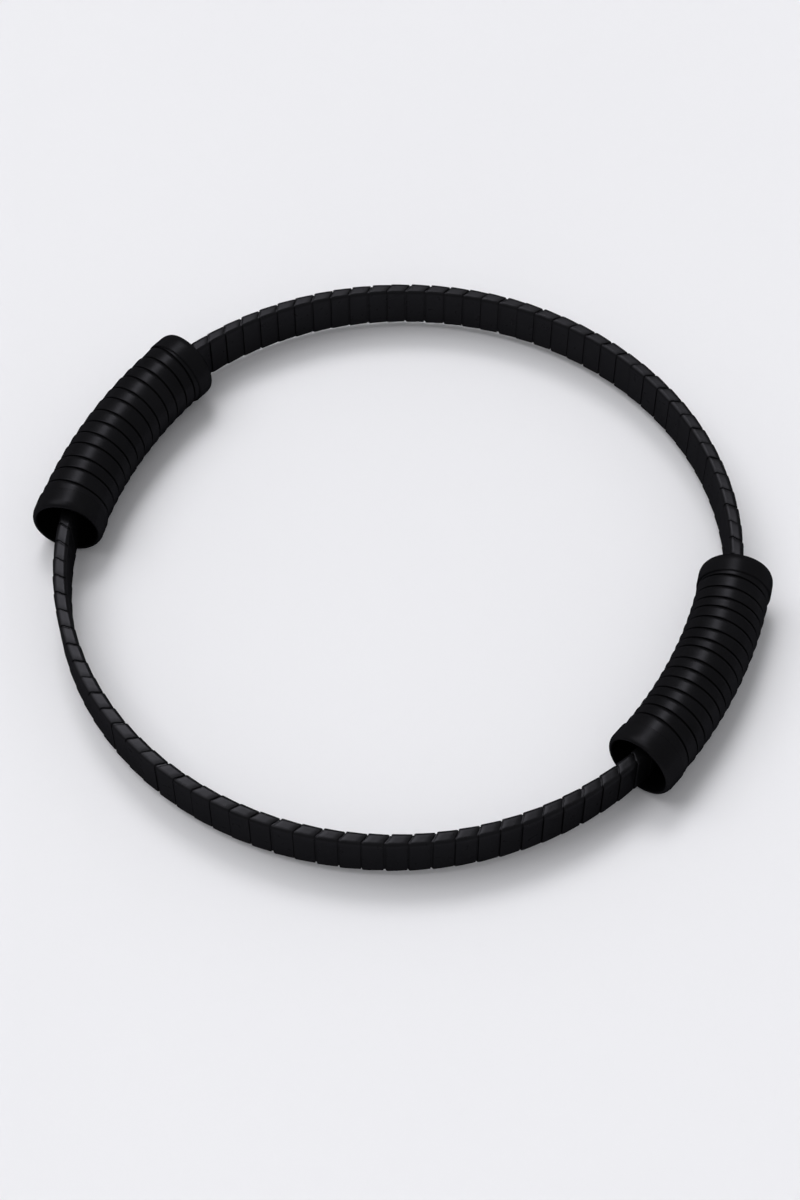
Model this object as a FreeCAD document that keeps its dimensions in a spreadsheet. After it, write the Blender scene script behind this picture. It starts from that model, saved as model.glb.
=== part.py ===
# Pilates ring: a sprung, tape-wrapped hoop lying flat, with two wound tube grips on opposite sides.
# Millimetres. X runs through the two grips, Z is up and the floor is Z = 0.
import math
import os

import FreeCAD
import Part
import Sketcher

Vector = FreeCAD.Vector
UP = Vector(0, 0, 1)

# Driving sizes, each kept in the sheet under its own name
SIZES = {
    # Hoop centreline: an arc in each grip and a rounder free arc front and rear
    "grip_arc_radius": 189.0,
    "free_arc_radius": 171.3,
    "grip_arc_half": 58.5,
    # Two spring leaves with a liner between them
    "leaf_thickness": 1.2,
    "leaf_height": 22.0,
    "leaf_end_gap": 1.5,
    "liner_thickness": 2.4,
    "liner_height": 20.0,
    "liner_end_gap": 1.0,
    "stack_clearance": 0.1,
    # Tape wound round the band in runs that flex against each other
    "tape_thickness": 1.2,
    "tape_headroom": 0.5,
    "tape_corner_radius": 2.6,
    "runs_per_arc": 8,
    "turns_per_run": 5,
    "seam_gap": 0.5,
    "seam_top_share": 0.25,
    "flex_gap": 1.0,
    # Bent grip tube, its wound strip and its end cuffs
    "tube_bend_radius": 255.0,
    "tube_inset": 2.0,
    "tube_rise": 2.8,
    "grip_length": 130.0,
    "bore_radius": 16.2,
    "tube_wall": 1.0,
    "strip_clearance": 0.05,
    "strip_thickness": 1.3,
    "strip_gap": 0.7,
    "strip_steps_per_turn": 20,
    "left_turns": 14,
    "right_turns": 17,
    "cuff_clearance": 0.1,
    "cuff_wall": 0.55,
    "cuff_length": 11.5,
    "lip_length": 3.0,
    "lip_round": 1.4,
    "cuff_flat_depth": 0.35,
    # Core halves that clamp the band inside the tube
    "core_length": 72.0,
    "core_clearance": 0.1,
    "core_parting": 0.5,
    "plate_length": 112.0,
    # Fasteners
    "hole_clearance": 0.2,
    "screw_half_spacing": 26.0,
    "screw_radius": 2.0,
    "screw_head_radius": 3.5,
    "screw_head_height": 3.0,
    "screw_seat": 6.5,
    "insert_radius": 3.6,
    "insert_length": 3.2,
    "screw_tip": 0.8,
    "rivet_half_spacing": 46.0,
    "rivet_rise": 5.0,
    "rivet_radius": 1.6,
    "rivet_head_radius": 3.0,
    "rivet_head_height": 1.1,
    "rivet_seat": 0.03,
}

# Sizes and places that follow from the driving ones
DERIVED = {
    "grip_arc_angle": "grip_arc_half / grip_arc_radius * 180 / pi",
    "grip_arc_x": "-(grip_arc_radius - free_arc_radius) * cos(grip_arc_angle)",
    "free_arc_y": "(grip_arc_radius - free_arc_radius) * sin(grip_arc_angle)",
    "run_step": "(180 - 2 * grip_arc_angle) / runs_per_arc",
    "run_angle": "run_step - flex_gap / free_arc_radius * 180 / pi",
    "turn_angle": "run_angle / turns_per_run",
    "turn_pitch": "turn_angle * pi / 180 * free_arc_radius",
    "leaf_inner_face": "liner_thickness / 2 + stack_clearance",
    "tape_inner_half": "leaf_inner_face + leaf_thickness + stack_clearance",
    "tape_half": "tape_inner_half + tape_thickness",
    "tape_inner_half_height": "leaf_height / 2 + tape_headroom",
    "tape_half_height": "tape_inner_half_height + tape_thickness",
    "seam_over": "seam_top_share * turn_pitch",
    "seam_under": "(1 - seam_top_share) * turn_pitch",
    "seam_top_yaw": "-atan(seam_over / (2 * tape_inner_half)) / 1 deg",
    "seam_bottom_yaw": "atan(seam_under / (2 * tape_inner_half)) / 1 deg",
    "tube_radius": "bore_radius + tube_wall",
    "strip_inner_radius": "(tube_radius + strip_clearance) / cos(180 / strip_steps_per_turn)",
    "strip_radius": "strip_inner_radius + strip_thickness",
    "cuff_inner_radius": "strip_radius + cuff_clearance",
    "cuff_radius": "cuff_inner_radius + cuff_wall",
    "tube_level": "cuff_radius - cuff_flat_depth",
    "band_level": "tube_level - tube_rise",
    "tube_bend_x": "grip_arc_x + grip_arc_radius - tube_inset - tube_bend_radius",
    "tube_end_angle": "grip_length / 2 / tube_bend_radius * 180 / pi",
    "lip_angle": "lip_length / tube_bend_radius * 180 / pi",
    "cuff_angle": "cuff_length / tube_bend_radius * 180 / pi",
    "strip_half_length": "grip_length / 2 - lip_length - cuff_clearance",
    "screw_angle": "screw_half_spacing / grip_arc_radius * 180 / pi",
    "rivet_angle": "rivet_half_spacing / grip_arc_radius * 180 / pi",
    "stack_half": "leaf_inner_face + leaf_thickness",
}

CUT_OVERRUN = 2.0
WIDE_CUT = 60.0

doc = FreeCAD.newDocument("pilates_ring")
dims = doc.addObject("Spreadsheet::Sheet", "dims")
for row, (alias, size) in enumerate(SIZES.items(), start=1):
    dims.set(f"A{row}", alias)
    dims.set(f"B{row}", str(size))
    dims.setAlias(f"B{row}", alias)
for row, (alias, formula) in enumerate(DERIVED.items(), start=1):
    dims.set(f"D{row}", alias)
    dims.set(f"E{row}", "=" + formula)
    dims.setAlias(f"E{row}", alias)
doc.recompute()

parts = []


def number(expression):
    """The value that an expression on the sheet's cells has now."""
    result = dims.evalExpression(expression)
    return float(getattr(result, "Value", result))


def keep(part, label):
    """Gives a sub-part the name that its file takes."""
    part.Label = label
    parts.append(part)
    return part


def side_placement(side):
    """The left grip is the right one turned half round."""
    return FreeCAD.Placement(Vector(), FreeCAD.Rotation(UP, 180 if side == "left" else 0))


# Sketches and PartDesign features

def new_body(label, side="right"):
    body = doc.addObject("PartDesign::Body", label)
    body.Placement = side_placement(side)
    return keep(body, label)


def sketch_on(body, name, role, shift=None, turn=None):
    """A sketch on one of the body's own planes, shifted and turned about Z by expressions."""
    plane = next(item for item in body.Origin.OriginFeatures if item.Role == role)
    sketch = body.newObject("Sketcher::SketchObject", name)
    sketch.AttachmentSupport = (plane, "")
    sketch.MapMode = "FlatFace"
    if turn:
        turned = FreeCAD.Rotation(Vector(0, 1, 0), number(turn))
        sketch.AttachmentOffset = FreeCAD.Placement(Vector(), turned)
        sketch.setExpression("AttachmentOffset.Rotation.Angle", turn)
    for axis, expression in (shift or {}).items():
        sketch.setExpression(f"AttachmentOffset.Base.{axis}", expression)
    return sketch


def bind(sketch, kind, *references, expression):
    index = sketch.addConstraint(Sketcher.Constraint(kind, *references, number(expression)))
    sketch.setExpression(f"Constraints[{index}]", expression)


def rectangle(sketch, left, bottom, width, height):
    """A rectangle whose corner and sides are expressions."""
    x, y, w, h = number(left), number(bottom), number(width), number(height)
    corners = [Vector(x, y), Vector(x + w, y), Vector(x + w, y + h), Vector(x, y + h)]
    for start, end in zip(corners, corners[1:] + corners[:1]):
        sketch.addGeometry(Part.LineSegment(start, end))
    for line in range(4):
        sketch.addConstraint(Sketcher.Constraint("Coincident", line, 2, (line + 1) % 4, 1))
        sketch.addConstraint(Sketcher.Constraint("Vertical" if line % 2 else "Horizontal", line))
    bind(sketch, "DistanceX", -1, 1, 0, 1, expression=left)
    bind(sketch, "DistanceY", -1, 1, 0, 1, expression=bottom)
    bind(sketch, "DistanceX", 0, 1, 0, 2, expression=width)
    bind(sketch, "DistanceY", 1, 1, 1, 2, expression=height)


def circle(sketch, x, y, radius):
    place = Vector(number(x), number(y), 0)
    item = sketch.addGeometry(Part.Circle(place, UP, number(radius)))
    if place.x:
        bind(sketch, "DistanceX", -1, 1, item, 3, expression=x)
    else:
        sketch.addConstraint(Sketcher.Constraint("PointOnObject", item, 3, -2))
    bind(sketch, "DistanceY", -1, 1, item, 3, expression=y)
    bind(sketch, "Radius", item, expression=radius)


def revolve(body, name, sketch, angle, cut=False, one_way=False, reverse=False):
    """Turns a sketch about its own upright axis, evenly both ways unless one_way."""
    kind = "PartDesign::Groove" if cut else "PartDesign::Revolution"
    feature = body.newObject(kind, name)
    feature.Profile = sketch
    feature.ReferenceAxis = (sketch, ["V_Axis"])
    feature.Midplane = not one_way
    feature.Reversed = reverse
    feature.setExpression("Angle", angle)
    return feature


def pocket(body, name, sketch, both_ways=False, outward=False):
    feature = body.newObject("PartDesign::Pocket", name)
    feature.Profile = sketch
    feature.Type = "ThroughAll"
    feature.Reversed = outward
    if both_ways:
        feature.SideType = "Symmetric"
    return feature


def radial_holes(body, name, angle, radius, levels, distance="0", side=1, inward=False):
    """Round holes through the band's arc in a grip, drilled from a distance along the arc's radius."""
    reach = f"{side} * ({distance})"
    shift = {
        "x": f"{reach} * sin({angle})",
        "z": f"{side} * dims.grip_arc_x + {reach} * cos({angle})",
    }
    sketch = sketch_on(body, name + "_sketch", "YZ_Plane", shift, angle)
    for level in levels:
        circle(sketch, "0", level, radius)
    pocket(body, name, sketch, outward=(side > 0) != inward)


SCREW_LEVELS = ["dims.band_level"]
RIVET_LEVELS = ["dims.band_level - dims.rivet_rise", "dims.band_level + dims.rivet_rise"]
SCREW_HOLE = "dims.screw_radius + dims.hole_clearance"
RIVET_HOLE = "dims.rivet_radius + dims.hole_clearance"
GRIP_SPAN = "2 * dims.grip_arc_angle"
FREE_SPAN = "180 - 2 * dims.grip_arc_angle"


def fastener_holes(body, sides):
    """Screw and rivet holes through the band, in each grip named by its side."""
    for side in sides:
        for sign, end in ((1, "rear"), (-1, "front")):
            tag = f"{'right' if side > 0 else 'left'}_{end}"
            radial_holes(body, f"{body.Name}_{tag}_screw", f"{sign * side} * dims.screw_angle",
                         SCREW_HOLE, SCREW_LEVELS, side=side)
            radial_holes(body, f"{body.Name}_{tag}_rivet", f"{sign * side} * dims.rivet_angle",
                         RIVET_HOLE, RIVET_LEVELS, side=side)


def band_arc(body, name, plane, side, inner_face, thickness, height, span):
    """One arc of a strip that stands on edge, its inner face at a distance from the centreline."""
    on_grip = plane == "XZ_Plane"
    radius = "dims.grip_arc_radius" if on_grip else "dims.free_arc_radius"
    centre = "dims.grip_arc_x" if on_grip else "dims.free_arc_y"
    sketch = sketch_on(body, f"{name}_section", plane, {"x": f"{side} * {centre}"})
    near = f"{radius} + {inner_face}"
    left = near if side > 0 else f"-({near} + {thickness})"
    rectangle(sketch, left, f"dims.band_level - {height} / 2", thickness, height)
    revolve(body, name, sketch, span)


# Sprung band

def spring_leaf(label, inner_face):
    """A leaf round the whole hoop, its ends meeting in the middle of the left grip."""
    body = new_body(label)
    arcs = [("right", "XZ_Plane", 1, GRIP_SPAN), ("rear", "YZ_Plane", 1, FREE_SPAN),
            ("left", "XZ_Plane", -1, GRIP_SPAN), ("front", "YZ_Plane", -1, FREE_SPAN)]
    for name, plane, side, span in arcs:
        band_arc(body, f"{label}_{name}", plane, side, inner_face,
                 "dims.leaf_thickness", "dims.leaf_height", span)
    ends = sketch_on(body, f"{label}_ends_sketch", "XY_Plane")
    rectangle(ends, "-dims.grip_arc_radius - dims.grip_arc_x - dims.stack_half * 4",
              "-dims.leaf_end_gap / 2", "dims.stack_half * 8", "dims.leaf_end_gap")
    pocket(body, f"{label}_ends", ends, both_ways=True)
    fastener_holes(body, (1, -1))


def liner(label, side):
    """A soft strip between the leaves, along one free arc."""
    body = new_body(label)
    ends = "2 * dims.liner_end_gap / dims.free_arc_radius * 180 / pi"
    band_arc(body, f"{label}_arc", "YZ_Plane", side, "-dims.liner_thickness / 2",
             "dims.liner_thickness", "dims.liner_height", f"{FREE_SPAN} - {ends}")


def joining_plate(label, side):
    """A steel plate between the leaves inside a grip, which the rivets and screws go through."""
    body = new_body(label, side)
    span = "dims.plate_length / dims.grip_arc_radius * 180 / pi"
    band_arc(body, f"{label}_arc", "XZ_Plane", 1, "-dims.liner_thickness / 2",
             "dims.liner_thickness", "dims.leaf_height", span)
    fastener_holes(body, (1,))


# Wound tape

def seam_box(name, radius, along, yaw, length, bottom, height):
    """A thin upright box that cuts one stretch of the seam, centred on a place along the run."""
    box = doc.addObject("Part::Box", name)
    angle = f"({along}) * dims.turn_angle - dims.run_angle / 2"
    heading = f"{angle} + ({yaw})"
    box.setExpression("Length", length)
    box.setExpression("Width", "dims.seam_gap")
    box.setExpression("Height", height)
    box.Placement = FreeCAD.Placement(Vector(), FreeCAD.Rotation(UP, number(heading)))
    box.setExpression("Placement.Rotation.Angle", heading)
    back, aside = f"({length}) / 2", "dims.seam_gap / 2"
    box.setExpression(
        "Placement.Base.x",
        f"({radius}) * cos({angle}) - {back} * cos({heading}) + {aside} * sin({heading})")
    box.setExpression(
        "Placement.Base.y",
        f"({radius}) * sin({angle}) - {back} * sin({heading}) - {aside} * cos({heading})")
    box.setExpression("Placement.Base.z", bottom)
    return box


def seam_boxes():
    """The seam between turns: straight up both faces, slanting over the top and the bottom edge."""
    across = "2 * dims.tape_inner_half"
    lap = "dims.seam_gap / 2"
    wall = "dims.tape_thickness + 2 * dims.stack_clearance"
    wall_middle = "(dims.tape_half - dims.tape_thickness / 2)"
    tall = "2 * dims.tape_half_height + 2 * dims.stack_clearance"
    low = "-dims.tape_half_height - dims.stack_clearance"
    top = "dims.tape_inner_half_height - dims.stack_clearance"
    boxes = []
    for turn in range(int(number("dims.turns_per_run"))):
        if turn:
            boxes.append(seam_box(f"outer_seam_{turn}", f"dims.free_arc_radius + {wall_middle}",
                                  f"{turn}", "0", wall, low, tall))
        boxes.append(seam_box(f"inner_seam_{turn}", f"dims.free_arc_radius - {wall_middle}",
                              f"{turn} + dims.seam_top_share", "0", wall, low, tall))
        boxes.append(seam_box(f"top_seam_{turn}", "dims.free_arc_radius",
                              f"{turn} + dims.seam_top_share / 2", "dims.seam_top_yaw",
                              f"sqrt(dims.seam_over^2 + ({across})^2) + {lap}", top, wall))
        boxes.append(seam_box(f"bottom_seam_{turn}", "dims.free_arc_radius",
                              f"{turn} + (1 + dims.seam_top_share) / 2", "dims.seam_bottom_yaw",
                              f"sqrt(dims.seam_under^2 + ({across})^2) + {lap}", low, wall))
    return boxes


def tape_sleeve():
    """The outer shape of one run of tape: a rounded sleeve bent to the free arc."""
    body = doc.addObject("PartDesign::Body", "tape_sleeve")
    outside = sketch_on(body, "sleeve_outside", "XZ_Plane")
    rectangle(outside, "dims.free_arc_radius - dims.tape_half", "-dims.tape_half_height",
              "2 * dims.tape_half", "2 * dims.tape_half_height")
    block = revolve(body, "sleeve_block", outside, "dims.run_angle")
    doc.recompute()
    rounds = body.newObject("PartDesign::Fillet", "sleeve_rounds")
    edges = enumerate(block.Shape.Edges, start=1)
    rounds.Base = (block, [f"Edge{i}" for i, edge in edges if isinstance(edge.Curve, Part.Circle)])
    rounds.setExpression("Radius", "dims.tape_corner_radius")
    inside = sketch_on(body, "sleeve_inside", "XZ_Plane")
    rectangle(inside, "dims.free_arc_radius - dims.tape_inner_half", "-dims.tape_inner_half_height",
              "2 * dims.tape_inner_half", "2 * dims.tape_inner_half_height")
    revolve(body, "sleeve_bore", inside, "2 * dims.run_step", cut=True)
    return body


def tape_runs():
    """Runs of wound tape along the two free arcs, all cut from one sleeve by one seam."""
    seam = doc.addObject("Part::Compound", "tape_seam")
    seam.Links = seam_boxes()
    run = doc.addObject("Part::Cut", "tape_run")
    run.Base = tape_sleeve()
    run.Tool = seam
    doc.recompute()
    middles = [box.Shape.BoundBox.Center for box in seam.Links]
    gap = 2 * min(Part.Vertex(middle).distToShape(run.Shape)[0] for middle in middles)
    print("tape run least gap to itself", round(gap, 3))
    for arc, side in (("rear", 1), ("front", -1)):
        for index in range(int(number("dims.runs_per_arc"))):
            label = f"{arc}_wrap_{index + 1}"
            link = doc.addObject("App::Link", label)
            link.LinkedObject = run
            link.LinkTransform = False
            heading = f"{side} * (180 - dims.grip_arc_angle - ({index} + 0.5) * dims.run_step)"
            link.Placement = FreeCAD.Placement(Vector(), FreeCAD.Rotation(UP, number(heading)))
            link.setExpression("Placement.Rotation.Angle", heading)
            link.setExpression("Placement.Base.y", f"{side} * dims.free_arc_y")
            link.setExpression("Placement.Base.z", "dims.band_level")
            keep(link, label)


# Grips

def grip_tube(side):
    label = f"{side}_grip_tube"
    body = new_body(label, side)
    section = sketch_on(body, f"{label}_section", "XZ_Plane", {"x": "dims.tube_bend_x"})
    circle(section, "dims.tube_bend_radius", "dims.tube_level", "dims.tube_radius")
    circle(section, "dims.tube_bend_radius", "dims.tube_level", "dims.bore_radius")
    revolve(body, f"{label}_bend", section, "2 * (dims.tube_end_angle - dims.lip_angle)")


def on_tube(along, radius, turn):
    """The point at a distance along the tube's axis, a radius from it and an angle round it."""
    bend = number("dims.tube_bend_radius")
    outward = bend + radius * math.cos(turn)
    angle = along / bend
    return Vector(number("dims.tube_bend_x") + outward * math.cos(angle), outward * math.sin(angle),
                  number("dims.tube_level") + radius * math.sin(turn))


def grip_winding(side):
    """A flat strip wound round the tube from cuff to cuff, in one piece."""
    label = f"{side}_grip_winding"
    turns = int(number(f"dims.{side}_turns"))
    steps = int(number("dims.strip_steps_per_turn"))
    length, gap = 2 * number("dims.strip_half_length"), number("dims.strip_gap")
    inner, outer = number("dims.strip_inner_radius"), number("dims.strip_radius")
    pitch = (length + gap) / (turns + 1)
    half = (pitch - gap) / 2

    def edge(offset, radius):
        """One of the strip's four long edges, as points."""
        spins = [step / steps for step in range(turns * steps + 1)]
        start = half - length / 2 + offset
        return [on_tube(start + pitch * spin, radius, 2 * math.pi * spin) for spin in spins]

    edges = [edge(-half, inner), edge(half, inner), edge(half, outer), edge(-half, outer)]
    sections = [Part.makePolygon(list(corners) + [corners[0]]) for corners in zip(*edges)]
    strip = doc.addObject("Part::Feature", label)
    strip.Shape = Part.makeLoft(sections, True, True)
    strip.Placement = side_placement(side)
    keep(strip, label)
    beside = [(edges[1], edges[0]), (edges[2], edges[3])]
    gaps = [a.distanceToPoint(b) for right, left in beside
            for shift in (steps - 1, steps, steps + 1) for a, b in zip(right, left[shift:])]
    print(label, "least gap to itself", round(min(gaps), 3))


def end_cuff(side, end):
    """A moulded cuff that closes over the tube's end and the strip's end, flat where it stands."""
    label = f"{side}_{end}_cuff"
    sign = 1 if (end == "rear") == (side == "right") else -1
    body = new_body(label, side)
    turn = f"{sign} * dims.tube_end_angle"
    for part, inner, angle in (("sleeve", "dims.cuff_inner_radius", "dims.cuff_angle"),
                               ("lip", "dims.bore_radius", "dims.lip_angle")):
        section = sketch_on(body, f"{label}_{part}_section", "XZ_Plane", {"x": "dims.tube_bend_x"}, turn)
        circle(section, "dims.tube_bend_radius", "dims.tube_level", "dims.cuff_radius")
        circle(section, "dims.tube_bend_radius", "dims.tube_level", inner)
        solid = revolve(body, f"{label}_{part}", section, angle, one_way=True, reverse=sign > 0)
    doc.recompute()
    rounds = body.newObject("PartDesign::Fillet", f"{label}_rounds")
    rounds.Base = (solid, end_edges(solid, sign))
    rounds.setExpression("Radius", "dims.lip_round")
    under = sketch_on(body, f"{label}_under", "XY_Plane")
    middle = "dims.tube_bend_x + dims.tube_bend_radius"
    rectangle(under, f"{middle} - {WIDE_CUT}", f"{sign} * dims.grip_length / 2 - {WIDE_CUT / 2}",
              f"{2 * WIDE_CUT}", f"{WIDE_CUT}")
    pocket(body, f"{label}_flat", under)


def end_edges(feature, sign):
    """The names of the round edges that lie in a cuff's open end."""
    centre = number("dims.tube_bend_x")
    end = sign * number("dims.tube_end_angle")
    found = []
    for index, edge in enumerate(feature.Shape.Edges, start=1):
        if isinstance(edge.Curve, Part.Circle) and abs(edge.Curve.Axis.z) < 0.5:
            middle = edge.Curve.Center
            if abs(math.degrees(math.atan2(middle.y, middle.x - centre)) - end) < 0.01:
                found.append(f"Edge{index}")
    return found


def core_half(side, which):
    """Half of the block inside the tube that clamps the band, on its outer or inner side."""
    label = f"{side}_{which}_core"
    sign = 1 if which == "outer" else -1
    body = new_body(label, side)
    round_section = sketch_on(body, f"{label}_section", "XZ_Plane", {"x": "dims.tube_bend_x"})
    circle(round_section, "dims.tube_bend_radius", "dims.tube_level", "dims.bore_radius - dims.core_clearance")
    revolve(body, f"{label}_block", round_section, "dims.core_length / dims.tube_bend_radius * 180 / pi")
    parting = sketch_on(body, f"{label}_parting_section", "XZ_Plane", {"x": "dims.grip_arc_x"})
    half = "dims.core_parting / 2"
    left = f"dims.grip_arc_radius - {WIDE_CUT} + {half}" if sign > 0 else f"dims.grip_arc_radius - {half}"
    rectangle(parting, left, f"dims.tube_level - {WIDE_CUT / 2}", f"{WIDE_CUT}", f"{WIDE_CUT}")
    revolve(body, f"{label}_parting", parting, GRIP_SPAN, cut=True)
    slot = sketch_on(body, f"{label}_slot_section", "XZ_Plane", {"x": "dims.grip_arc_x"})
    deep = "dims.stack_half + dims.stack_clearance"
    rectangle(slot, f"dims.grip_arc_radius - ({deep})",
              "dims.band_level - dims.leaf_height / 2 - dims.stack_clearance",
              f"2 * ({deep})", "dims.leaf_height + 2 * dims.stack_clearance")
    revolve(body, f"{label}_slot", slot, GRIP_SPAN, cut=True)
    wide = "dims.screw_head_radius" if sign > 0 else "dims.insert_radius"
    for turn, end in ((1, "rear"), (-1, "front")):
        angle = f"{turn} * dims.screw_angle"
        radial_holes(body, f"{label}_{end}_screw", angle, SCREW_HOLE, SCREW_LEVELS)
        radial_holes(body, f"{label}_{end}_seat", angle, f"{wide} + dims.hole_clearance", SCREW_LEVELS,
                     distance=f"dims.grip_arc_radius + {sign} * dims.screw_seat", inward=sign < 0)


# Fasteners

def rod(name, start, length, radius, level="dims.band_level"):
    """A cylinder along the band's radius, placed from the middle of the grip's arc."""
    cylinder = doc.addObject("Part::Cylinder", name)
    cylinder.Placement = FreeCAD.Placement(Vector(), FreeCAD.Rotation(Vector(0, 1, 0), 90))
    cylinder.setExpression("Radius", radius)
    cylinder.setExpression("Height", length)
    cylinder.setExpression("Placement.Base.x", f"dims.grip_arc_radius + ({start})")
    cylinder.setExpression("Placement.Base.z", level)
    return cylinder


def fuse(name, pieces):
    joined = doc.addObject("Part::MultiFuse", name)
    joined.Shapes = pieces
    return joined


def both_ends(label, side, pieces, angle):
    """The same pieces at both ends of a grip's arc, in one node."""
    turned = []
    for sign, end in ((1, "rear"), (-1, "front")):
        group = doc.addObject("Part::Compound", f"{label}_{end}")
        group.Links = pieces
        heading = f"{sign} * {angle}"
        group.Placement = FreeCAD.Placement(Vector(), FreeCAD.Rotation(UP, number(heading)))
        group.setExpression("Placement.Rotation.Angle", heading)
        group.setExpression("Placement.Base.x", "dims.grip_arc_x")
        turned.append(group)
    node = doc.addObject("Part::Compound", label)
    node.Links = turned
    node.Placement = side_placement(side)
    keep(node, label)


def core_screws(side):
    label = f"{side}_core_screws"
    reach = "2 * dims.screw_seat + dims.insert_length + dims.screw_tip"
    head = rod(f"{label}_head", "dims.screw_seat", "dims.screw_head_height", "dims.screw_head_radius")
    shank = rod(f"{label}_shank", f"dims.screw_seat - ({reach})", reach, "dims.screw_radius")
    both_ends(label, side, [fuse(f"{label}_screw", [head, shank])], "dims.screw_angle")


def core_inserts(side):
    label = f"{side}_core_inserts"
    start = "-dims.screw_seat - dims.insert_length"
    barrel = rod(f"{label}_barrel", start, "dims.insert_length", "dims.insert_radius")
    thread = rod(f"{label}_thread", f"{start} - {CUT_OVERRUN}", f"dims.insert_length + {2 * CUT_OVERRUN}",
                 "dims.screw_radius")
    insert = doc.addObject("Part::Cut", f"{label}_insert")
    insert.Base = barrel
    insert.Tool = thread
    both_ends(label, side, [insert], "dims.screw_angle")


def band_rivets(side):
    """Rivets through both leaves and the plate; the hollow inner face keeps their inner heads a seat away."""
    label = f"{side}_band_rivets"
    rivets = []
    for index, level in enumerate(RIVET_LEVELS, start=1):
        name = f"{label}_{index}"
        shank = rod(f"{name}_shank", "-dims.stack_half - dims.rivet_seat", "2 * dims.stack_half + dims.rivet_seat",
                    "dims.rivet_radius", level)
        inner = rod(f"{name}_inner_head", "-dims.stack_half - dims.rivet_seat - dims.rivet_head_height",
                    "dims.rivet_head_height", "dims.rivet_head_radius", level)
        outer = rod(f"{name}_outer_head", "dims.stack_half", "dims.rivet_head_height",
                    "dims.rivet_head_radius", level)
        rivets.append(fuse(name, [shank, inner, outer]))
    both_ends(label, side, rivets, "dims.rivet_angle")


# Assembly

spring_leaf("inner_spring_leaf", "-(dims.leaf_inner_face + dims.leaf_thickness)")
spring_leaf("outer_spring_leaf", "dims.leaf_inner_face")
liner("rear_liner", 1)
liner("front_liner", -1)
joining_plate("left_splice_plate", "left")
joining_plate("right_anchor_plate", "right")
tape_runs()
for grip in ("left", "right"):
    grip_tube(grip)
    grip_winding(grip)
    end_cuff(grip, "rear")
    end_cuff(grip, "front")
    core_half(grip, "outer")
    core_half(grip, "inner")
    core_screws(grip)
    core_inserts(grip)
    band_rivets(grip)
doc.recompute()

# Checks on the document, then one file for each sub-part
for item in doc.Objects:
    if "Invalid" in item.State:
        raise RuntimeError(f"{item.Label} did not build: {item.State}")
    shape = getattr(item, "Shape", None)
    if shape is not None and not shape.isNull() and not shape.isValid():
        raise RuntimeError(f"{item.Label} has an invalid shape")
    if item.TypeId in ("PartDesign::Pocket", "PartDesign::Groove"):
        if item.Shape.Volume > item.BaseFeature.Shape.Volume - 0.01:
            raise RuntimeError(f"{item.Label} cuts nothing")

os.makedirs("parts", exist_ok=True)
for part in parts:
    shape = Part.getShape(part)
    print(part.Label, "solids", len(shape.Solids), "volume", round(shape.Volume, 1))
    shape.exportStep(f"parts/{part.Label}.step")
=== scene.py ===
# Pilates ring: wound tape, grips, spring leaves, materials, floor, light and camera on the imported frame.
import math
import random

import bpy
from mathutils import Matrix, Vector


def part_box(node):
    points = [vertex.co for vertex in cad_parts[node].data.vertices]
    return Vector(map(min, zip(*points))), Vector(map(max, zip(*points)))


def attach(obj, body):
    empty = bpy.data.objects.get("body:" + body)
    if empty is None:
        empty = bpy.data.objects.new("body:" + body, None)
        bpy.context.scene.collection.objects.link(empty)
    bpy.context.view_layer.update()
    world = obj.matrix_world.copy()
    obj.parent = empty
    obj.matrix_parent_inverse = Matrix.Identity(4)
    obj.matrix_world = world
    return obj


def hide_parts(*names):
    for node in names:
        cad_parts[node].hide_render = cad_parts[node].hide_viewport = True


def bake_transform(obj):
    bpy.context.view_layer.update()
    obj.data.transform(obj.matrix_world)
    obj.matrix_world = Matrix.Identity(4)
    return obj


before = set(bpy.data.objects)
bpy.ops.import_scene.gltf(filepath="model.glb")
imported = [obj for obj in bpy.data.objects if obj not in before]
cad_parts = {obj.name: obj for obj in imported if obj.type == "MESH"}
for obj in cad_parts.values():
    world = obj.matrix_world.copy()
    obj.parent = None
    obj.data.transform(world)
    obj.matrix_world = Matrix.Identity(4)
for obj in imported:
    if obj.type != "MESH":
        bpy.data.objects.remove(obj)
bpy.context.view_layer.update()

# Hoop centreline, in metres: an arc in each grip and a rounder free arc front and rear
GRIP_ARC_RADIUS = 0.189
FREE_ARC_RADIUS = 0.1713
GRIP_ARC_HALF = 0.0585
RUNS = 8
GRIP_ARC_ANGLE = GRIP_ARC_HALF / GRIP_ARC_RADIUS
ARC_X = (GRIP_ARC_RADIUS - FREE_ARC_RADIUS) * math.cos(GRIP_ARC_ANGLE)
ARC_Y = (GRIP_ARC_RADIUS - FREE_ARC_RADIUS) * math.sin(GRIP_ARC_ANGLE)
FREE_LENGTH = FREE_ARC_RADIUS * (math.pi - 2 * GRIP_ARC_ANGLE)
RUN = FREE_LENGTH / RUNS

# Band
tape_low, tape_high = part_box("rear_wrap_4")
leaf_low, leaf_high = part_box("outer_spring_leaf")
liner_low, liner_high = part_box("rear_liner")
BAND_LEVEL = (tape_low.z + tape_high.z) / 2
BAND_HEIGHT = tape_high.z - tape_low.z
BAND_THICKNESS = 0.0076
LEAF_HEIGHT = leaf_high.z - leaf_low.z
LEAF_THICKNESS = 0.0012
LEAF_FACE = 0.0013
LINER_HEIGHT = liner_high.z - liner_low.z
LINER_THICKNESS = 0.0024
LEAF_END_GAP = 0.0015
LINER_END = 0.001
OPEN_LINE_SETBACK = 0.004
LEAF_EDGE_ROUND = 0.48
LEAF_STEPS = 24

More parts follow.
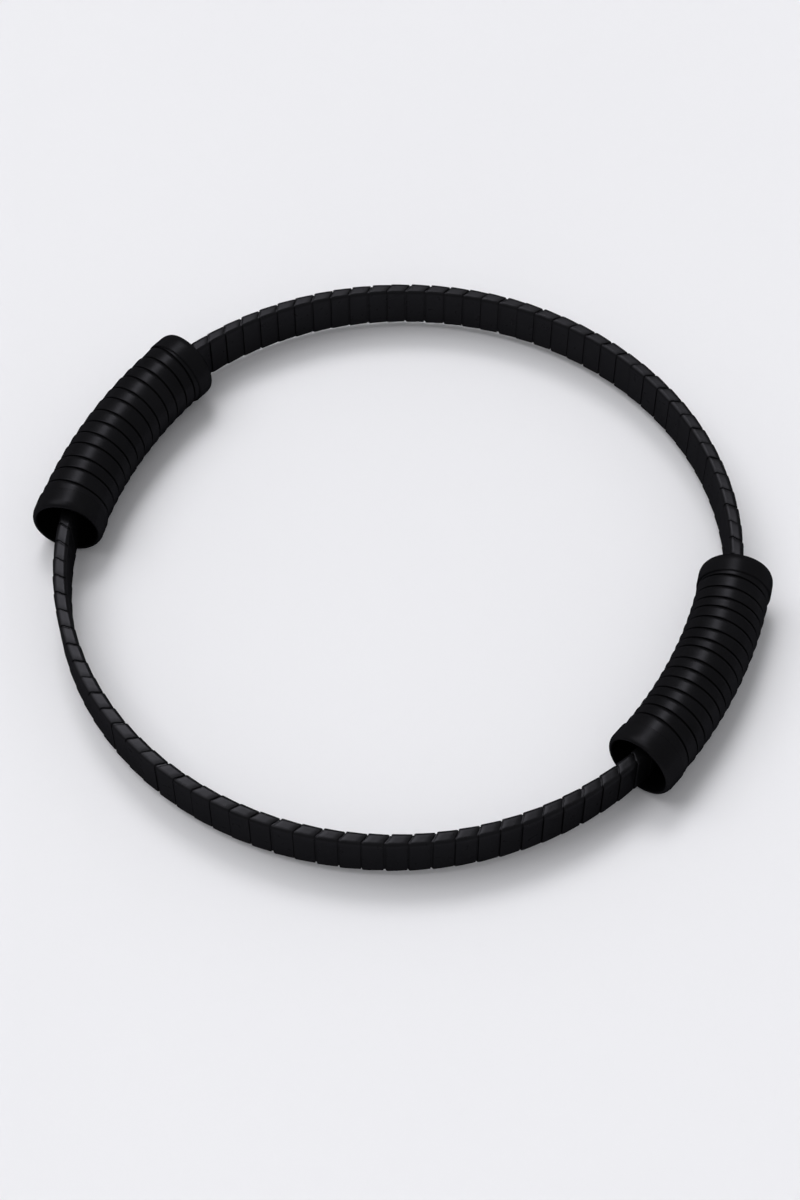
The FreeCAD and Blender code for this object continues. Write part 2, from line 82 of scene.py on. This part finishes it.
# Tape: its section is points of setback from an edge, or share of the half width, and share of the thickness
TAPE_THICKNESS = 0.0012
TAPE_CORNER = 0.0021
TURNS_PER_RUN = 5
TAPE_PITCH = RUN / TURNS_PER_RUN
TAPE_SEAM = 0.0007
SEAM_TOP_SHARE = 0.25
TURNS_INSIDE_GRIP = 2
TAPE_WANDER = 0.0005
TAPE_LAP = 0.0022
TAPE_FOOT = (0.05, 0.22)
TAPE_RIGHT_EDGE = ((0.0, 0.55), (0.00015, 0.67), (0.0006, 0.75))
TAPE_FACE = ((0.3, 0.85), (-0.4, 0.95))
TAPE_LEFT_EDGE = ((0.0009, 1.0), (0.00045, 0.97), (0.00012, 0.86), (0.0, 0.65))
TAPE_SEEDS = {"rear": 7, "front": 11}

# Grips
TUBE_BEND_RADIUS = 0.255
TUBE_INSET = 0.002
GRIP_LENGTH = 0.130
BORE_RADIUS = 0.0162
TUBE_RADIUS = 0.0172
TUBE_STEPS = 24
STRIP_RADIUS = 0.01864
STRIP_GAP = 0.0009
STRIP_CLEARANCE = 0.00005
WINDING_CLEARANCE = 0.0002
HIGH_SHOULDER = (0.0015, 0.0008)
LOW_SHOULDER = (0.0008, 0.0004)
SHOULDER_STEPS = 8
STRIP_SLOPE = 0.0004
SLOPE_STEPS = 5
STRIP_WANDER = {"left": 0.0011, "right": 0.0009}
WANDERS_PER_TURN = 3
STRIP_STEPS = 56
STRIP_SEEDS = {"left": 23, "right": 31}
CUFF_RADIUS = 0.01912
CUFF_LENGTH = 0.0115
CUFF_WALL = 0.0003
CUFF_BEVEL = 0.0004
SLEEVE_STEPS = 4
LIP_LENGTH = 0.003
LIP_STEPS = 7
LIP_ROUND = 0.0014
LIP_OUTER_LENGTH = 0.0042
LIP_OUTER_DROP = 0.0020
LIP_INNER_DROP = 0.0009
TUBE_MIDDLE = GRIP_ARC_RADIUS - ARC_X - TUBE_INSET
TUBE_LEVEL = sum(corner.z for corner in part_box("right_grip_tube")) / 2
STRIP_TURNS = {"left": 14, "right": 17}
ROUND_STEPS = 96
SMOOTH_ANGLE = math.radians(40)

# Camera, from where the ring lies in the photo
VIEW_AZIMUTH = math.radians(26.64)
VIEW_ELEVATION = math.radians(53.49)
VIEW_DISTANCE = 1.1913
VIEW_DROP = math.radians(1.138)
VIEW_SIDE = 0.0005
LENS = 68.83
SENSOR = 36.0
CLIP_START = 0.05

# Light, level 1 in all on the open floor: an even sky, as pale as the floor where it meets the horizon,
# a soft box at the rear, which adds BOX_LEVEL, and a wide lamp from the left, which gives the rest
SKY_LEVEL = 0.46
HORIZON_LEVEL = 0.86
HORIZON_EDGES = (math.sin(math.radians(2)), math.sin(math.radians(6)))
BOX_FROM = Vector((-0.31, 0.46, 0.83)).normalized()
BOX_EDGES = (math.cos(math.radians(13)), math.cos(math.radians(5)))
BOX_BRIGHTNESS = 9.0
BOX_LEVEL = 0.21
LIGHT_FROM = Vector((-0.5, -0.02, 0.866)).normalized()
LIGHT_SPREAD = math.radians(46)

# Floor
FLOOR_HALF = 60.0
FLOOR_SHADES = ((0.845, 0.845, 0.878), (0.865, 0.865, 0.898))
FLOOR_NOISE = 1.5

# Finishes
GLOSS_TINT = (0.9, 0.89, 1.0)
COOL_BLUE = 1.12
NOISE_RANGE = (0.3, 0.7)
COLOUR_NOISE = 60.0
ROUGHNESS_NOISE = 240.0
ROUGHNESS_SPREAD = 0.02
GRAIN_DETAIL = 4.0
STREAK_NOISE = 500.0
STREAK_DETAIL = 2.0
STREAK_STRETCH = (1, 1, 12)
STREAK_DEPTH = 0.00002


# Paths

def centreline(arc, along):
    """Point and outward direction on the hoop, a distance along an arc from the left grip's flex line."""
    if along < 0:
        heading = math.pi - GRIP_ARC_ANGLE - along / GRIP_ARC_RADIUS
        centre, radius = Vector((ARC_X, 0)), GRIP_ARC_RADIUS
    elif along > FREE_LENGTH:
        heading = GRIP_ARC_ANGLE - (along - FREE_LENGTH) / GRIP_ARC_RADIUS
        centre, radius = Vector((-ARC_X, 0)), GRIP_ARC_RADIUS
    else:
        heading = math.pi - GRIP_ARC_ANGLE - along / FREE_ARC_RADIUS
        centre, radius = Vector((0, ARC_Y)), FREE_ARC_RADIUS
    side = 1 if arc == "rear" else -1
    outward = Vector((math.cos(heading), side * math.sin(heading), 0))
    return Vector((centre.x, side * centre.y, BAND_LEVEL)) + radius * outward, outward


def band_point(arc, along, out=0.0, up=0.0):
    """A point beside the hoop's centreline: out from the ring's middle, and up."""
    point, outward = centreline(arc, along)
    return point + out * outward + Vector((0, 0, up))


def tube_point(side, along, radius, turn):
    """A point round a grip's bent axis: a distance along it, a radius from it and an angle round it."""
    out = TUBE_BEND_RADIUS + radius * math.cos(turn)
    angle = along / TUBE_BEND_RADIUS
    x = TUBE_MIDDLE - TUBE_BEND_RADIUS + out * math.cos(angle)
    sign = 1 if side == "right" else -1
    return Vector((sign * x, sign * out * math.sin(angle), TUBE_LEVEL + radius * math.sin(turn)))


def ease(t):
    """A smooth step from 0 to 1."""
    t = min(1.0, max(0.0, t))
    return t * t * (3 - 2 * t)


def seeded_line(seed, count, size):
    """Seeded values, spread evenly about zero."""
    rng = random.Random(seed)
    return [rng.uniform(-size, size) for _ in range(count)]


def on_line(values, at):
    """A smooth value between the seeded ones."""
    index = math.floor(at) % (len(values) - 1)
    return values[index] + (values[index + 1] - values[index]) * ease(at - math.floor(at))


# Meshes

def new_piece(name, points, faces, material, slot):
    """An object in the scene, with its mesh, smooth faces and material; its slot argument is not used."""
    mesh = bpy.data.meshes.new(name)
    mesh.from_pydata([tuple(point) for point in points], [], faces)
    mesh.validate()
    piece = bpy.data.objects.new(name, mesh)
    bpy.context.scene.collection.objects.link(piece)
    mesh.shade_smooth()
    mesh.set_sharp_from_angle(angle=SMOOTH_ANGLE)
    mesh.materials.append(material)
    return piece


def swept(rings, closes=False):
    """Points and faces of a closed section carried along a path, capped unless the path closes."""
    count = len(rings[0])
    points = [point for ring in rings for point in ring]
    faces = []
    for row in range(len(rings) if closes else len(rings) - 1):
        here, there = row * count, (row + 1) % len(rings) * count
        for k in range(count):
            following = (k + 1) % count
            faces.append((here + k, here + following, there + following, there + k))
    if not closes:
        faces.append(tuple(reversed(range(count))))
        faces.append(tuple(range(len(points) - count, len(points))))
    return points, faces


def facing_out(points, faces):
    """The same mesh with its faces turned if they face inward."""
    volume = 0.0
    for face in faces:
        first = points[face[0]]
        for a, b in zip(face[1:], face[2:]):
            volume += first.dot(points[a].cross(points[b]))
    return points, faces if volume > 0 else [tuple(reversed(face)) for face in faces]


def rounded_section(width, height, radius, corner_steps=8, face_steps=6):
    """Points and outward directions round a rounded rectangle, from the foot of its outer face upward."""
    flat_x, flat_z = width / 2 - radius, height / 2 - radius
    section = []

    def flat(normal, start, end):
        for step in range(face_steps):
            t = step / face_steps
            section.append((start[0] + (end[0] - start[0]) * t, start[1] + (end[1] - start[1]) * t, normal))

    def corner(x, z, start):
        for step in range(corner_steps):
            a = start + math.pi / 2 * step / corner_steps
            normal = (math.cos(a), math.sin(a))
            section.append((x + radius * normal[0], z + radius * normal[1], normal))

    flat((1, 0), (width / 2, -flat_z), (width / 2, flat_z))
    corner(flat_x, flat_z, 0)
    flat((0, 1), (flat_x, height / 2), (-flat_x, height / 2))
    corner(-flat_x, flat_z, math.pi / 2)
    flat((-1, 0), (-width / 2, flat_z), (-width / 2, -flat_z))
    corner(-flat_x, -flat_z, math.pi)
    flat((0, -1), (-flat_x, -height / 2), (flat_x, -height / 2))
    corner(flat_x, -flat_z, 3 * math.pi / 2)
    return section


# Tape round the band, one wound length across each flexing line

def seam_share(out, up):
    """How far along its pitch the tape has gone: level on the wide faces, forward over the narrow edges."""
    half = BAND_THICKNESS / 2 - TAPE_THICKNESS
    across = ease((half - out) / (2 * half))
    if up > 0:
        return SEAM_TOP_SHARE * across
    if across > 0 and up < TAPE_CORNER - BAND_HEIGHT / 2:
        return 1 - (1 - SEAM_TOP_SHARE) * across
    return 0.0 if out > 0 else SEAM_TOP_SHARE


def tape_profile(half):
    """The tape's own section: across its width and up from the band.

    It rises to a rounded left edge, and its right edge has a foot that the next turn laps.
    """
    top = TAPE_THICKNESS
    foot_low, foot_high = (share * top for share in TAPE_FOOT)
    foot = [(half, foot_low), (half + TAPE_LAP, foot_low), (half + TAPE_LAP, foot_high), (half, foot_high)]
    right = [(half - setback, share * top) for setback, share in TAPE_RIGHT_EDGE]
    face = [(place * half, share * top) for place, share in TAPE_FACE]
    left = [(setback - half, share * top) for setback, share in TAPE_LEFT_EDGE]
    return [(-half, 0.0), (half, 0.0)] + foot + right + face + left


def tape_rings(arc, first, last, wander):
    """Sections of the tape between two turns, counted from the left in front, from the right behind."""
    inside = rounded_section(BAND_THICKNESS - 2 * TAPE_THICKNESS, BAND_HEIGHT - 2 * TAPE_THICKNESS,
                             TAPE_CORNER - TAPE_THICKNESS)
    way = 1 if arc == "front" else -1
    profile = tape_profile((TAPE_PITCH - TAPE_SEAM) / 2)
    spins = [(turn, place) for turn in range(first, last) for place in inside] + [(last, inside[0])]
    rings = []
    for turn, (out, up, normal) in spins:
        share = seam_share(out, up)
        drift = on_line(wander, turn + share)
        middle = (turn + share + 0.5) * TAPE_PITCH
        rings.append([(middle + drift + way * across, out + lift * normal[0], up + lift * normal[1])
                      for across, lift in profile])
    length = FREE_LENGTH if way < 0 else 0.0
    return [[band_point(arc, length + way * along, out, up) for along, out, up in ring] for ring in rings]


def band_lengths(arc):
    """The band's lengths from left to right: the bodies that carry each, and its ends counted in runs.

    A length lies across each flexing line, but the middle line is open and has a length on either side.
    """
    bodies = ["left_grip"] + [f"{arc}_{i}" for i in range(1, RUNS + 1)] + ["right_grip"]
    lengths = []
    for k in range(RUNS + 1):
        if k == RUNS // 2:
            lengths += [([bodies[k]], k - 0.5, k), ([bodies[k + 1]], k, k + 0.5)]
        else:
            lengths.append(([bodies[k], bodies[k + 1]], k - 0.5, k + 0.5))
    return lengths


def carry(piece, bodies):
    """Parents a piece to its only body, or, when two bodies carry it, bakes its place into its mesh."""
    if len(bodies) == 1:
        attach(piece, bodies[0])
        return
    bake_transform(piece)


def build_tape(material):
    last_turn = RUNS * TURNS_PER_RUN + TURNS_INSIDE_GRIP - 1
    for arc, seed in TAPE_SEEDS.items():
        wander = seeded_line(seed, (RUNS + 2) * TURNS_PER_RUN, TAPE_WANDER)
        for number, (bodies, start, end) in enumerate(band_lengths(arc), 1):
            ends = (start, end) if arc == "front" else (RUNS - end, RUNS - start)
            first, last = (math.ceil(run * TURNS_PER_RUN) for run in ends)
            rings = tape_rings(arc, max(first, -TURNS_INSIDE_GRIP), min(last, last_turn), wander)
            piece = new_piece(f"{arc}_tape_{number}", *facing_out(*swept(rings)), material, "band_tape")
            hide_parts(*(body.replace("_", "_wrap_") for body in bodies if arc in body))
            carry(piece, bodies)


# Spring leaves and liners inside the tape

def flat_strip(arc, start, end, out, thickness, height):
    """A strip on edge along the hoop, with rounded edges."""
    section = rounded_section(thickness, height, thickness * LEAF_EDGE_ROUND, corner_steps=4, face_steps=1)
    rings = []
    for step in range(LEAF_STEPS + 1):
        along = start + (end - start) * step / LEAF_STEPS
        rings.append([band_point(arc, along, out + x, z) for x, z, _ in section])
    return facing_out(*swept(rings))


def build_spring(steel, rubber):
    leaf_middle = LEAF_FACE + LEAF_THICKNESS / 2
    for arc in ("rear", "front"):
        for number, (bodies, start, end) in enumerate(band_lengths(arc), 1):
            left = start * RUN if start > 0 else LEAF_END_GAP / 2 - GRIP_ARC_HALF
            right = end * RUN if end < RUNS else FREE_LENGTH + GRIP_ARC_HALF
            left += OPEN_LINE_SETBACK if start == RUNS / 2 else 0.0
            right -= OPEN_LINE_SETBACK if end == RUNS / 2 else 0.0
            for name, out in (("inner", -leaf_middle), ("outer", leaf_middle)):
                strip = flat_strip(arc, left, right, out, LEAF_THICKNESS, LEAF_HEIGHT)
                leaf = new_piece(f"{arc}_{name}_leaf_{number}", *strip, steel, "spring_steel")
                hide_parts(f"{name}_spring_leaf")
                carry(leaf, bodies)
            left, right = max(left, LINER_END), min(right, FREE_LENGTH - LINER_END)
            strip = flat_strip(arc, left, right, 0.0, LINER_THICKNESS, LINER_HEIGHT)
            liner = new_piece(f"{arc}_liner_{number}", *strip, rubber, "liner_rubber")
            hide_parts(f"{arc}_liner")
            carry(liner, bodies)


# Grips

def turned(side, profile):
    """A closed profile of distances along a grip's axis and radii from it, carried round the axis."""
    rings = []
    for step in range(ROUND_STEPS):
        turn = 2 * math.pi * step / ROUND_STEPS
        rings.append([tube_point(side, along, radius, turn) for along, radius in profile])
    for ring in rings:
        for point in ring:
            point.z = max(point.z, 0.0)
    return facing_out(*swept(rings, closes=True))


def tube_profile():
    half = GRIP_LENGTH / 2 - LIP_LENGTH
    stations = [half * (2 * step / TUBE_STEPS - 1) for step in range(TUBE_STEPS + 1)]
    return [(s, BORE_RADIUS) for s in stations] + [(s, TUBE_RADIUS) for s in reversed(stations)]


def cuff_profile(sign):
    """From the cuff's inner end, out along its sleeve, round its lip and back along the bore."""
    end = GRIP_LENGTH / 2
    back = end - CUFF_LENGTH
    inside = CUFF_RADIUS - CUFF_WALL
    profile = [(end - LIP_LENGTH, inside), (back, inside),
               (back, CUFF_RADIUS - CUFF_BEVEL), (back + CUFF_BEVEL, CUFF_RADIUS)]
    straight = CUFF_LENGTH - CUFF_BEVEL - LIP_OUTER_LENGTH
    for step in range(1, SLEEVE_STEPS):
        profile.append((back + CUFF_BEVEL + step * straight / SLEEVE_STEPS, CUFF_RADIUS))
    angles = [math.pi / 2 * step / LIP_STEPS for step in range(LIP_STEPS + 1)]
    for a in reversed(angles):
        drop = LIP_OUTER_DROP * (1 - math.sin(a))
        profile.append((end - LIP_OUTER_LENGTH * (1 - math.cos(a)), CUFF_RADIUS - drop))
    for a in angles:
        drop = LIP_INNER_DROP * (1 - math.sin(a))
        profile.append((end - LIP_ROUND * (1 - math.cos(a)), BORE_RADIUS + drop))
    profile.append((end - LIP_LENGTH, BORE_RADIUS))
    return [(sign * along, radius) for along, radius in profile]


def strip_section(high, low):
    """The flat strip's section: a rounded shoulder at its high edge, then a slope to one at its low edge."""
    foot = TUBE_RADIUS + STRIP_CLEARANCE
    inward = 1 if low > high else -1

    def shoulder(edge, way, top, size):
        """A quarter of an ellipse, from the edge's foot up to the strip's face."""
        width, drop = size
        angles = [math.pi / 2 * step / SHOULDER_STEPS for step in range(SHOULDER_STEPS + 1)]
        return [(edge + way * width * (1 - math.cos(a)), top - drop * (1 - math.sin(a))) for a in angles]

    rise = shoulder(high, inward, STRIP_RADIUS, HIGH_SHOULDER)
    fall = shoulder(low, -inward, STRIP_RADIUS - STRIP_SLOPE, LOW_SHOULDER)
    ridge, brink = rise[-1], fall[-1]
    slope = []
    for step in range(1, SLOPE_STEPS):
        t = step / SLOPE_STEPS
        slope.append((ridge[0] + (brink[0] - ridge[0]) * t, ridge[1] + (brink[1] - ridge[1]) * t))
    return [(low, foot), (high, foot)] + rise + slope + fall[::-1]


def winding_rings(side, seed):
    """Sections of the strip wound round a tube by hand, its grooves a little uneven."""
    turns = STRIP_TURNS[side]
    length = GRIP_LENGTH - 2 * LIP_LENGTH - WINDING_CLEARANCE
    pitch = (length + STRIP_GAP) / (turns + 1)
    wander = seeded_line(seed, (turns + 2) * WANDERS_PER_TURN, STRIP_WANDER[side])

    def groove(spin):
        drift = ease(spin) * ease(turns + 1 - spin) * on_line(wander, spin * WANDERS_PER_TURN)
        return pitch * spin - length / 2 + drift

    rings = []
    for step in range(turns * STRIP_STEPS + 1):
        spin = step / STRIP_STEPS
        edges = [groove(spin), groove(spin + 1) - STRIP_GAP]
        high, low = edges if side == "left" else reversed(edges)
        rings.append([tube_point(side, along, radius, 2 * math.pi * spin)
                      for along, radius in strip_section(high, low)])
    return rings


def build_grips(rubber, strip, cuff):
    for side, seed in STRIP_SEEDS.items():
        body = f"{side}_grip"
        tube = new_piece(f"{side}_tube", *turned(side, tube_profile()), rubber, "tube_rubber")
        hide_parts(f"{side}_grip_tube")
        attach(tube, body)
        coil = facing_out(*swept(winding_rings(side, seed)))
        wound = new_piece(f"{side}_winding", *coil, strip, "grip_strip")
        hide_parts(f"{side}_grip_winding")
        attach(wound, body)
        for end, sign in (("rear", 1), ("front", -1)):
            way = sign if side == "right" else -sign
            sleeve = turned(side, cuff_profile(way))
            piece = new_piece(f"{side}_{end}_end_cuff", *sleeve, cuff, "cuff_rubber")
            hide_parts(f"{side}_{end}_cuff")
            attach(piece, body)


# Materials

def node_material(name, roughness, metallic=0.0, specular=0.5):
    material = bpy.data.materials.new(name)
    material.use_nodes = True
    shader = material.node_tree.nodes["Principled BSDF"]
    shader.inputs["Metallic"].default_value = metallic
    shader.inputs["Roughness"].default_value = roughness
    shader.inputs["Specular IOR Level"].default_value = specular
    return material, material.node_tree, shader


def noise_node(tree, scale, detail=3.0, stretch=(1, 1, 1)):
    place = tree.nodes.new("ShaderNodeTexCoord")
    mapping = tree.nodes.new("ShaderNodeMapping")
    mapping.inputs["Scale"].default_value = stretch
    noise = tree.nodes.new("ShaderNodeTexNoise")
    noise.inputs["Scale"].default_value = scale
    noise.inputs["Detail"].default_value = detail
    tree.links.new(place.outputs["Object"], mapping.inputs["Vector"])
    tree.links.new(mapping.outputs["Vector"], noise.inputs["Vector"])
    return noise


def vary_colour(tree, socket, noise, dark, light):
    ramp = tree.nodes.new("ShaderNodeValToRGB")
    for element, place, colour in zip(ramp.color_ramp.elements, NOISE_RANGE, (dark, light)):
        element.position = place
        element.color = (*colour, 1)
    tree.links.new(noise.outputs["Fac"], ramp.inputs["Fac"])
    tree.links.new(ramp.outputs["Color"], socket)


def vary_roughness(tree, socket, noise, low, high):
    spread = tree.nodes.new("ShaderNodeMapRange")
    spread.inputs["From Min"].default_value, spread.inputs["From Max"].default_value = NOISE_RANGE
    spread.inputs["To Min"].default_value = low
    spread.inputs["To Max"].default_value = high
    tree.links.new(noise.outputs["Fac"], spread.inputs["Value"])
    tree.links.new(spread.outputs["Result"], socket)


def grain(tree, sockets, noise, depth):
    bump = tree.nodes.new("ShaderNodeBump")
    bump.inputs["Distance"].default_value = depth
    tree.links.new(noise.outputs["Fac"], bump.inputs["Height"])
    for socket in sockets:
        tree.links.new(bump.outputs["Normal"], socket)


def matte_black(name, dark, light, roughness, gloss, grain_scale, grain_depth):
    """A dull black with the same small share of gloss at every angle."""
    material = bpy.data.materials.new(name)
    material.use_nodes = True
    tree = material.node_tree
    tree.nodes.remove(tree.nodes["Principled BSDF"])
    dull = tree.nodes.new("ShaderNodeBsdfDiffuse")
    shine = tree.nodes.new("ShaderNodeBsdfAnisotropic")
    blend = tree.nodes.new("ShaderNodeMixShader")
    blend.inputs["Fac"].default_value = gloss
    shine.inputs["Color"].default_value = (*GLOSS_TINT, 1)
    vary_colour(tree, dull.inputs["Color"], noise_node(tree, COLOUR_NOISE), dark, light)
    vary_roughness(tree, shine.inputs["Roughness"], noise_node(tree, ROUGHNESS_NOISE),
                   roughness - ROUGHNESS_SPREAD, roughness + ROUGHNESS_SPREAD)
    grain(tree, [dull.inputs["Normal"], shine.inputs["Normal"]],
          noise_node(tree, grain_scale, GRAIN_DETAIL), grain_depth)
    tree.links.new(dull.outputs["BSDF"], blend.inputs[1])
    tree.links.new(shine.outputs["BSDF"], blend.inputs[2])
    tree.links.new(blend.outputs["Shader"], tree.nodes["Material Output"].inputs["Surface"])
    return material


def brushed_metal(name, dark, light, roughness):
    material, tree, shader = node_material(name, roughness, metallic=1.0)
    streaks = noise_node(tree, STREAK_NOISE, STREAK_DETAIL, STREAK_STRETCH)
    vary_colour(tree, shader.inputs["Base Color"], streaks, dark, light)
    grain(tree, [shader.inputs["Normal"]], streaks, STREAK_DEPTH)
    return material


def grey(value):
    return (value, value, value)


def cool(value):
    return (value, value, COOL_BLUE * value)


def make_materials():
    """A material for each slot."""
    return {
        "band_tape": matte_black(
            "black tape", cool(0.0028), cool(0.0042),
            roughness=0.29, gloss=0.0105, grain_scale=2600.0, grain_depth=0.000002),
        "grip_strip": matte_black(
            "black grip strip", cool(0.0025), cool(0.0042),
            roughness=0.32, gloss=0.0078, grain_scale=2200.0, grain_depth=0.000006),
        "tube_rubber": matte_black(
            "black tube rubber", grey(0.003), grey(0.004),
            roughness=0.6, gloss=0.002, grain_scale=1800.0, grain_depth=0.00002),
        "cuff_rubber": matte_black(
            "black cuff rubber", cool(0.0028), cool(0.0042),
            roughness=0.34, gloss=0.0066, grain_scale=2200.0, grain_depth=0.000006),
        "core_plastic": matte_black(
            "black core plastic", grey(0.008), grey(0.012),
            roughness=0.5, gloss=0.012, grain_scale=1500.0, grain_depth=0.00003),
        "liner_rubber": matte_black(
            "black liner rubber", grey(0.01), grey(0.014),
            roughness=0.8, gloss=0.008, grain_scale=1500.0, grain_depth=0.00004),
        "spring_steel": brushed_metal("spring steel", grey(0.30), grey(0.38), roughness=0.35),
        "fastener_steel": brushed_metal("fastener steel", grey(0.48), grey(0.56), roughness=0.3),
        "insert_brass": brushed_metal("insert brass", (0.58, 0.40, 0.14), (0.68, 0.48, 0.18), roughness=0.3),
    }


CAD_SLOTS = {"core_screws": "fastener_steel", "core_inserts": "insert_brass", "rivets": "fastener_steel",
             "plate": "spring_steel", "core": "core_plastic"}


def finish_cad_nodes(materials):
    """The pieces carried over from the frame take the same procedural materials by their slots."""
    for name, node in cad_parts.items():
        if node.hide_render:
            continue
        slot = next(slot for word, slot in CAD_SLOTS.items() if word in name)
        node.data.materials.clear()
        node.data.materials.append(materials[slot])


# Stage, light and camera

def build_stage():
    mesh = bpy.data.meshes.new("floor")
    corners = [(x * FLOOR_HALF, y * FLOOR_HALF, 0) for x, y in ((-1, -1), (1, -1), (1, 1), (-1, 1))]
    mesh.from_pydata(corners, [], [(0, 1, 2, 3)])
    floor = bpy.data.objects.new("floor", mesh)
    bpy.context.scene.collection.objects.link(floor)
    material, tree, shader = node_material("pale floor", 0.9, specular=0.1)
    vary_colour(tree, shader.inputs["Base Color"], noise_node(tree, FLOOR_NOISE), *FLOOR_SHADES)
    mesh.materials.append(material)


def smooth_range(tree, edges):
    """A node that goes smoothly from one value to another between two edges."""
    level = tree.nodes.new("ShaderNodeMapRange")
    level.interpolation_type = "SMOOTHSTEP"
    level.inputs["From Min"].default_value, level.inputs["From Max"].default_value = edges
    return level


def build_sky():
    world = bpy.data.worlds.new("studio")
    world.use_nodes = True
    tree = world.node_tree
    place = tree.nodes.new("ShaderNodeTexCoord")
    facing = tree.nodes.new("ShaderNodeVectorMath")
    facing.operation = "DOT_PRODUCT"
    facing.inputs[1].default_value = BOX_FROM
    height = tree.nodes.new("ShaderNodeSeparateXYZ")
    horizon = smooth_range(tree, HORIZON_EDGES)
    horizon.inputs["To Min"].default_value = HORIZON_LEVEL
    horizon.inputs["To Max"].default_value = SKY_LEVEL
    level = smooth_range(tree, BOX_EDGES)
    level.inputs["To Max"].default_value = BOX_BRIGHTNESS
    background = tree.nodes["Background"]
    background.inputs["Color"].default_value = (1, 1, 1, 1)
    tree.links.new(place.outputs["Generated"], facing.inputs[0])
    tree.links.new(place.outputs["Generated"], height.inputs["Vector"])
    tree.links.new(height.outputs["Z"], horizon.inputs["Value"])
    tree.links.new(horizon.outputs["Result"], level.inputs["To Min"])
    tree.links.new(facing.outputs["Value"], level.inputs["Value"])
    tree.links.new(level.outputs["Result"], background.inputs["Strength"])
    bpy.context.scene.world = world


def build_light():
    lamp = bpy.data.lights.new("soft light", "SUN")
    lamp.energy = (1 - SKY_LEVEL - BOX_LEVEL) * math.pi / LIGHT_FROM.z
    lamp.angle = LIGHT_SPREAD
    light = bpy.data.objects.new("soft light", lamp)
    light.rotation_euler = LIGHT_FROM.to_track_quat("Z", "Y").to_euler()
    bpy.context.scene.collection.objects.link(light)


def build_camera():
    back = Vector((math.sin(VIEW_AZIMUTH) * math.cos(VIEW_ELEVATION),
                   -math.cos(VIEW_AZIMUTH) * math.cos(VIEW_ELEVATION), math.sin(VIEW_ELEVATION)))
    right = Vector((math.cos(VIEW_AZIMUTH), math.sin(VIEW_AZIMUTH), 0))
    turn = Matrix((right, back.cross(right), back)).transposed().to_4x4()
    lens = bpy.data.cameras.new("camera")
    lens.sensor_fit = "VERTICAL"
    lens.sensor_height = SENSOR
    lens.lens = LENS
    lens.clip_start = CLIP_START
    camera = bpy.data.objects.new("camera", lens)
    place = Vector((0, 0, BAND_LEVEL)) + VIEW_DISTANCE * back + VIEW_SIDE * right
    camera.matrix_world = Matrix.Translation(place) @ turn @ Matrix.Rotation(-VIEW_DROP, 4, "X")
    bpy.context.scene.collection.objects.link(camera)
    bpy.context.scene.camera = camera


finishes = make_materials()
build_tape(finishes["band_tape"])
build_spring(finishes["spring_steel"], finishes["liner_rubber"])
build_grips(finishes["tube_rubber"], finishes["grip_strip"], finishes["cuff_rubber"])
finish_cad_nodes(finishes)
build_stage()
build_sky()
build_light()
build_camera()
bpy.context.scene.view_settings.view_transform = "Standard"
